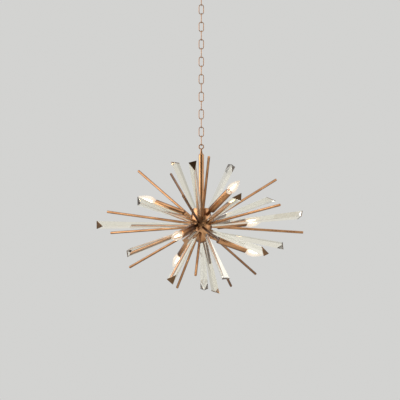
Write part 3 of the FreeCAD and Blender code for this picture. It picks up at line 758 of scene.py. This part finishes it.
class CHANDELIER_OT_rods(bpy.types.Operator):
    """Makes the fifteen round rods with softened tips"""
    bl_idname = "chandelier.rods"
    bl_label = "Rods"

    def execute(self, context):
        radius = size("rod_diameter") / 2
        for tier, arms in RODS.items():
            mesh = bmesh.new()
            for azimuth, elevation, rise, reach in arms:
                spun(mesh, [
                    (0, INSIDE), (radius, INSIDE), (radius, reach - 1.4),
                    (radius - 0.25, reach - 0.7), (radius - 0.8, reach - 0.2),
                    (radius - 1.6, reach), (0, reach),
                ], SLIM_SIDES, arm_matrix(azimuth, elevation, rise))
            bronze_piece("round_rods_" + tier, mesh, "fixture", "rods_" + tier)
        return {"FINISHED"}


# where a prism has its root side, how far its end slants, and the thickness of its cap
ROOT_AT, SLANT, CAP = 50.0, 23.0, 2.5
# where the glass starts inside the hub's side, and the gap that keeps it off its cap
PRISM_START, SEAM = 36.0, 0.05
GLASS_EDGE, CAP_EDGE = 0.5, 0.35


def corner_distance(reach, along):
    """From a prism's axis to its corners, at a distance along it."""
    root, tip = size("prism_root_side"), size("prism_tip_side")
    grow = (tip - root) / (reach - ROOT_AT)
    return (root + grow * (along - ROOT_AT)) / math.sqrt(3)


def prism_blank(reach, start, end):
    """A three-sided tapered bar between two distances, one corner along X."""
    blank = bmesh.new()
    bmesh.ops.create_cone(
        blank, cap_ends=True, cap_tris=False, segments=3, depth=(end - start) * MM,
        radius1=corner_distance(reach, start) * MM, radius2=corner_distance(reach, end) * MM)
    bmesh.ops.rotate(blank, verts=blank.verts, cent=(0, 0, 0),
                     matrix=Matrix.Rotation(-math.pi / 2, 3, "Z"))
    bmesh.ops.translate(blank, verts=blank.verts, vec=(0, 0, (start + end) / 2 * MM))
    return blank


def slant_plane(reach):
    """A point on the slanted cut and its outward normal."""
    front_at, back_at = reach - 2 * SLANT / 3, reach + SLANT / 3
    front = corner_distance(reach, front_at)
    back = -corner_distance(reach, back_at) / 2
    run = Vector((back - front, 0, back_at - front_at))
    normal = Vector((run.z, 0, -run.x)).normalized()
    return Vector((front, 0, front_at)) * MM, normal


def trim(blank, point, normal):
    """Cuts away what lies beyond a plane and closes the cut."""
    geometry = blank.verts[:] + blank.edges[:] + blank.faces[:]
    cut = bmesh.ops.bisect_plane(
        blank, geom=geometry, plane_co=point, plane_no=normal, clear_outer=True)
    bmesh.ops.contextual_create(blank, geom=only(cut["geom_cut"], bmesh.types.BMEdge))


def soften(blank, width):
    """Rounds every edge of a bar."""
    bmesh.ops.bevel(blank, geom=blank.edges[:], offset=width * MM, offset_type="OFFSET", segments=2,
                    profile=0.5, affect="EDGES", material=-1, clamp_overlap=True)


def merge_into(mesh, blank, place):
    """Adds a finished bar to a tier's mesh, at its place."""
    bmesh.ops.recalc_face_normals(blank, faces=blank.faces)
    bmesh.ops.transform(blank, matrix=place, verts=blank.verts)
    data = bpy.data.meshes.new("blank")
    blank.to_mesh(data)
    blank.free()
    mesh.from_mesh(data)
    bpy.data.meshes.remove(data)


class CHANDELIER_OT_prisms(bpy.types.Operator):
    """Makes the sixteen tapered glass prisms and the metal caps on their slanted ends"""
    bl_idname = "chandelier.prisms"
    bl_label = "Prisms and caps"

    def execute(self, context):
        for tier, arms in PRISMS.items():
            glasses, caps = bmesh.new(), bmesh.new()
            for azimuth, elevation, rise, reach, roll in arms:
                place = arm_matrix(azimuth, elevation, rise, roll)
                point, normal = slant_plane(reach)
                inner = point - normal * CAP * MM
                glass = prism_blank(reach, PRISM_START, reach + 2 * SLANT)
                trim(glass, inner - normal * SEAM * MM, normal)
                soften(glass, GLASS_EDGE)
                merge_into(glasses, glass, place)
                cap = prism_blank(reach, reach - 2 * SLANT, reach + 2 * SLANT)
                trim(cap, point, normal)
                trim(cap, inner, -normal)
                soften(cap, CAP_EDGE)
                merge_into(caps, cap, place)
            finish_piece("glass_prisms_" + tier, glasses, prism_glass(), "fixture",
                         ["prisms_" + tier], FLAT)
            finish_piece("end_caps_" + tier, caps, cap_bronze(), "fixture",
                         ["prism_caps_" + tier], FLAT)
        return {"FINISHED"}


# along a lamp: the candle tube's ends, the holder's ends and the foot of the bulb's glass
CANDLE_START, CANDLE_END, HOLDER = 74.0, 196.0, 42.0
HOLDER_MOUTH = CANDLE_END - 2
HOLDER_FOOT = HOLDER_MOUTH - HOLDER
GLASS_FOOT = HOLDER_MOUTH + 0.3
BULB_LENGTH, GLASS_WALL, GLASS_TIP = 77.0, 0.7, 1.2
# shares of the bulb's radius and of its length, from foot to tip
BULB_PROFILE = [
    (0.54, 0.00), (0.56, 0.04), (0.80, 0.13), (0.96, 0.24), (1.00, 0.35), (0.94, 0.48),
    (0.79, 0.62), (0.57, 0.76), (0.32, 0.89), (0.16, 0.96), (0.08, 0.995),
]
# the screw cap's thread: its turns, their pitch, and its top from the foot of the glass
THREAD_TURNS, THREAD_PITCH, THREAD_TOP = 6, 2.6, -2.2
# the filaments: their number, their lean in degrees, and how far out and up they start
FILAMENTS, FILAMENT_LEAN, FILAMENT_OUT, FILAMENT_UP = 4, -5, 3.5, 18.0


class CHANDELIER_OT_lamps(bpy.types.Operator):
    """Makes the candle tubes, the nipples that carry them and the lampholders"""
    bl_idname = "chandelier.lamps"
    bl_label = "Lamps"

    def execute(self, context):
        outer, hole, thread = size("candle_diameter") / 2, 4.8, 4.5
        bore, floor = outer - SHEET, CANDLE_START + SHEET
        tube_outline = [
            (hole, CANDLE_START), (outer - 1.6, CANDLE_START), (outer - 0.5, CANDLE_START + 0.5),
            (outer, CANDLE_START + 1.6), (outer, CANDLE_END - 0.5), (outer - 0.3, CANDLE_END),
            (bore + 0.3, CANDLE_END), (bore, CANDLE_END - 0.5), (bore, floor), (hole, floor),
            (hole, CANDLE_START),
        ]
        nipple_outline = [
            (0, INSIDE), (5.8, INSIDE), (5.8, CANDLE_START - 4.4), (6.0, CANDLE_START - 4),
            (6.0, CANDLE_START), (thread, CANDLE_START), (thread, HOLDER_FOOT), (0, HOLDER_FOOT),
        ]
        holder, socket, socket_depth = 11.5, 7.3, 24.3
        holder_outline = [
            (0, HOLDER_FOOT), (holder - 1, HOLDER_FOOT), (holder, HOLDER_FOOT + 1),
            (holder, HOLDER_MOUTH - 0.8), (holder - 0.8, HOLDER_MOUTH),
            (socket + 0.6, HOLDER_MOUTH), (socket, HOLDER_MOUTH - 0.6),
            (socket, HOLDER_MOUTH - socket_depth), (0, HOLDER_MOUTH - socket_depth),
        ]
        nipples, holders = bmesh.new(), bmesh.new()
        for number, (azimuth, elevation, rise) in enumerate(LAMPS, start=1):
            place = arm_matrix(azimuth, elevation, rise)
            tube = bmesh.new()
            spun(tube, tube_outline, TUBE_SIDES, place)
            bronze_piece("candle_sleeve_%d" % number, tube, "fixture", "candle_tube_%d" % number)
            spun(nipples, nipple_outline, SLIM_SIDES, place)
            spun(holders, holder_outline, NECK_SIDES, place)
        bronze_piece("nipples", nipples, "fixture", "lamp_nipples")
        finish_piece("holders", holders, holder_plastic(), "fixture",
                     ["lampholders"])
        return {"FINISHED"}


class CHANDELIER_OT_bulbs(bpy.types.Operator):
    """Makes the clear candle bulbs with their screw caps and lit filaments"""
    bl_idname = "chandelier.bulbs"
    bl_label = "Bulbs"

    def execute(self, context):
        for number, (azimuth, elevation, rise) in enumerate(LAMPS, start=1):
            foot = Matrix.Translation((0, 0, GLASS_FOOT * MM))
            place = arm_matrix(azimuth, elevation, rise) @ foot
            self.make_envelope(number, place)
            self.make_cap(number, place)
            self.make_filaments(number, place)
            self.make_stem(number, place)
        return {"FINISHED"}

    def make_envelope(self, number, place):
        radius = size("bulb_diameter") / 2
        outer = [(share * radius, height * BULB_LENGTH) for share, height in BULB_PROFILE]
        outer.append((0, BULB_LENGTH))
        inner = [(max(0.0, across - GLASS_WALL), min(height, BULB_LENGTH - GLASS_TIP))
                 for across, height in reversed(outer)]
        mesh = bmesh.new()
        spun(mesh, outer + inner + outer[:1], BULB_SIDES)
        mark_along(mesh, BULB_LENGTH * MM)
        bmesh.ops.transform(mesh, matrix=place, verts=mesh.verts)
        finish_piece("bulb_envelope_%d" % number, mesh, bulb_glass(), "bulb_%d" % number,
                     ["bulb_glass_%d" % number], BLOWN)

    def make_cap(self, number, place):
        outline = [(0, 0), (6.9, 0), (6.9, -1.6)]
        for turn in range(THREAD_TURNS):
            top = THREAD_TOP - THREAD_PITCH * turn
            outline += [(6.95, top), (6.95, top - 0.7), (6.35, top - 1.3), (6.35, top - 2.0)]
        outline += [(6.2, -18.6), (4.4, -20.6), (3.3, -22.9), (0, -22.9)]
        mesh = bmesh.new()
        spun(mesh, outline, SLIM_SIDES, place)
        finish_piece("screw_cap_%d" % number, mesh, nickel(), "bulb_%d" % number,
                     ["bulb_cap_%d" % number])

    def make_filaments(self, number, place):
        lean = Matrix.Rotation(math.radians(FILAMENT_LEAN), 4, "Y")
        shift = Matrix.Translation((FILAMENT_OUT * MM, 0, FILAMENT_UP * MM))
        mesh = bmesh.new()
        for index in range(FILAMENTS):
            turned = Matrix.Rotation(math.radians((index + 0.5) * 360 / FILAMENTS), 4, "Z")
            spun(mesh, [(0, 0), (0.8, 0.3), (0.9, 2), (0.9, 34), (0.8, 35.7), (0, 36)],
                 FILAMENT_SIDES, place @ turned @ shift @ lean)
        finish_piece("filaments_%d" % number, mesh, filament_glow(), "bulb_%d" % number,
                     smooth=BLOWN)

    def make_stem(self, number, place):
        mesh = bmesh.new()
        spun(mesh, [
            (0, 0.4), (6.4, 0.4), (4.2, 4), (2.4, 9), (1.8, 14), (1.8, 17), (0, 18),
        ], CORE_SIDES)
        mark_along(mesh, BULB_LENGTH * MM)
        bmesh.ops.transform(mesh, matrix=place, verts=mesh.verts)
        finish_piece("glass_stem_%d" % number, mesh, bulb_glass(), "bulb_%d" % number,
                     smooth=BLOWN)


class CHANDELIER_OT_plain_pieces(bpy.types.Operator):
    """Gives the ceiling bracket, the nipple, its nut and the terminal block their finishes"""
    bl_idname = "chandelier.plain_pieces"
    bl_label = "Plain pieces"

    def execute(self, context):
        finishes = {
            "ceiling_bracket": zinc(), "hanger_nipple": zinc(), "nipple_locknut": zinc(),
            "terminal_block": holder_plastic(),
        }
        for node, material in finishes.items():
            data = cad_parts[node].data
            data.materials.clear()
            data.materials.append(material)
        return {"FINISHED"}


# ---- Stage ----
# the picture: focal length and width in pixels, millimetres for each pixel at the hub,
# degrees that the camera is below the hub, and the pixel on which the hub's middle falls
FOCAL_PIXELS, FRAME_PIXELS = 2300.0, 400.0
SCALE = 3.762
BELOW = 6.0
HUB_PIXEL = (201.3, 225.9)
SENSOR = 36.0
# axis of the direction, where the bright side starts and is full, its brightness
ROOM_SIDES = (
    ("X", -0.66, -0.86, 3.1), ("X", 0.72, 0.90, 1.6), ("Z", 0.60, 0.85, 1.4),
    ("Y", 0.08, 0.30, 0.50),
)
ROOM_DIM, ROOM_COLOUR = 0.10, (1.0, 1.0, 0.98)
# kind of ray, the even brightness that it sees, and how far that replaces the sides
ROOM_EVEN = (
    ("Is Transmission Ray", 0.60, 0.8), ("Is Diffuse Ray", 0.90, 1.0), ("Is Camera Ray", 0.65, 1.0),
)
# the floor: its side and how far it lies below the hub, in metres, and its colour
FLOOR_SIDE, FLOOR_DROP, FLOOR_COLOUR = 80.0, 1.6, (0.62, 0.62, 0.60)
# the soft front light: its place from the hub and its sides, in metres, and its power
FRONT_FROM_HUB, FRONT_SIDES, FRONT_POWER = (-0.8, -4.2, 3.2), (5.0, 3.0), 130


def matt_material(name, colour):
    material = bpy.data.materials.new(name)
    material.use_nodes = True
    shader = material.node_tree.nodes["Principled BSDF"]
    shader.inputs["Base Color"].default_value = (*colour, 1)
    shader.inputs["Roughness"].default_value = 0.9
    return material


def pale_floor(hub):
    mesh = bmesh.new()
    bmesh.ops.create_grid(mesh, x_segments=1, y_segments=1, size=FLOOR_SIDE / 2)
    data = bpy.data.meshes.new("floor")
    mesh.to_mesh(data)
    mesh.free()
    data.materials.append(matt_material("Pale floor", FLOOR_COLOUR))
    thing = bpy.data.objects.new("floor", data)
    thing.location = (0, 0, hub.z - FLOOR_DROP)
    bpy.context.scene.collection.objects.link(thing)


def front_light(hub):
    """A soft light from the front, which neither mirrors in the metal nor shows in the glass."""
    data = bpy.data.lights.new("front", "AREA")
    data.shape = "RECTANGLE"
    data.size, data.size_y = FRONT_SIDES
    data.energy = FRONT_POWER
    thing = bpy.data.objects.new("front", data)
    thing.location = hub + Vector(FRONT_FROM_HUB)
    thing.rotation_euler = (hub - thing.location).to_track_quat("-Z", "Y").to_euler()
    thing.visible_transmission = False
    thing.visible_glossy = False
    bpy.context.scene.collection.objects.link(thing)


def soft_room(tree):
    """A dim room with broad bright sides; the camera and the glass see it evenly pale."""
    nodes, links = tree.nodes, tree.links
    place = nodes.new("ShaderNodeTexCoord")
    split = nodes.new("ShaderNodeSeparateXYZ")
    links.new(place.outputs["Generated"], split.inputs["Vector"])
    level = None
    for axis, start, end, strength in ROOM_SIDES:
        side = nodes.new("ShaderNodeMapRange")
        side.interpolation_type = "SMOOTHSTEP"
        side.inputs["From Min"].default_value = start
        side.inputs["From Max"].default_value = end
        side.inputs["To Max"].default_value = strength
        links.new(split.outputs[axis], side.inputs["Value"])
        total = nodes.new("ShaderNodeMath")
        total.inputs[1].default_value = ROOM_DIM
        links.new(side.outputs["Result"], total.inputs[0])
        if level:
            links.new(level, total.inputs[1])
        level = total.outputs[0]
    path = nodes.new("ShaderNodeLightPath")
    for ray, shown, part in ROOM_EVEN:
        share = nodes.new("ShaderNodeMath")
        share.operation = "MULTIPLY"
        share.inputs[1].default_value = part
        links.new(path.outputs[ray], share.inputs[0])
        seen = nodes.new("ShaderNodeMix")
        seen.inputs["B"].default_value = shown
        links.new(share.outputs[0], seen.inputs["Factor"])
        links.new(level, seen.inputs["A"])
        level = seen.outputs["Result"]
    sky = nodes["Background"]
    sky.inputs["Color"].default_value = (*ROOM_COLOUR, 1)
    links.new(level, sky.inputs["Strength"])


class CHANDELIER_OT_stage(bpy.types.Operator):
    """Sets up the pale room, the soft light and the camera"""
    bl_idname = "chandelier.stage"
    bl_label = "Stage"

    def execute(self, context):
        scene = context.scene
        scene.view_settings.view_transform = "Standard"
        hub = Vector((0, 0, HUB_Z * MM))
        pale_floor(hub)
        scene.world = bpy.data.worlds.new("Pale room")
        scene.world.use_nodes = True
        soft_room(scene.world.node_tree)
        front_light(hub)
        self.set_camera(scene, hub)
        return {"FINISHED"}

    def set_camera(self, scene, hub):
        data = bpy.data.cameras.new("camera")
        data.sensor_width = SENSOR
        data.lens = FOCAL_PIXELS / FRAME_PIXELS * SENSOR
        data.clip_end = 60
        camera = bpy.data.objects.new("camera", data)
        scene.collection.objects.link(camera)
        distance, lift = FOCAL_PIXELS * SCALE * MM, math.radians(BELOW)
        camera.location = hub + Vector((0, -math.cos(lift), -math.sin(lift))) * distance
        across, down = (math.atan((pixel - FRAME_PIXELS / 2) / FOCAL_PIXELS) for pixel in HUB_PIXEL)
        camera.rotation_euler = (math.pi / 2 + lift + down, 0, across)
        scene.camera = camera


class CHANDELIER_PT_sidebar(bpy.types.Panel):
    """Lists the pieces of the chandelier and the values that shape them"""
    bl_label = "Chandelier"
    bl_idname = "CHANDELIER_PT_sidebar"
    bl_space_type = "VIEW_3D"
    bl_region_type = "UI"
    bl_category = "Chandelier"

    def draw(self, context):
        column = self.layout.column()
        for name in ChandelierSettings.__annotations__:
            column.prop(settings(), name)
        for operator in OPERATORS:
            column.operator(operator.bl_idname)


OPERATORS = (
    CHANDELIER_OT_chain,
    CHANDELIER_OT_canopy,
    CHANDELIER_OT_rings,
    CHANDELIER_OT_hub,
    CHANDELIER_OT_rods,
    CHANDELIER_OT_prisms,
    CHANDELIER_OT_lamps,
    CHANDELIER_OT_bulbs,
    CHANDELIER_OT_plain_pieces,
    CHANDELIER_OT_stage,
)
CLASSES = (ChandelierSettings, *OPERATORS, CHANDELIER_PT_sidebar)


def register():
    for made in CLASSES:
        bpy.utils.register_class(made)
    bpy.types.Scene.chandelier = bpy.props.PointerProperty(type=ChandelierSettings)


def unregister():
    del bpy.types.Scene.chandelier
    for made in reversed(CLASSES):
        bpy.utils.unregister_class(made)


def main():
    register()
    for operator in OPERATORS:
        getattr(bpy.ops.chandelier, operator.bl_idname.split(".")[1])()


if __name__ == "__main__":
    main()
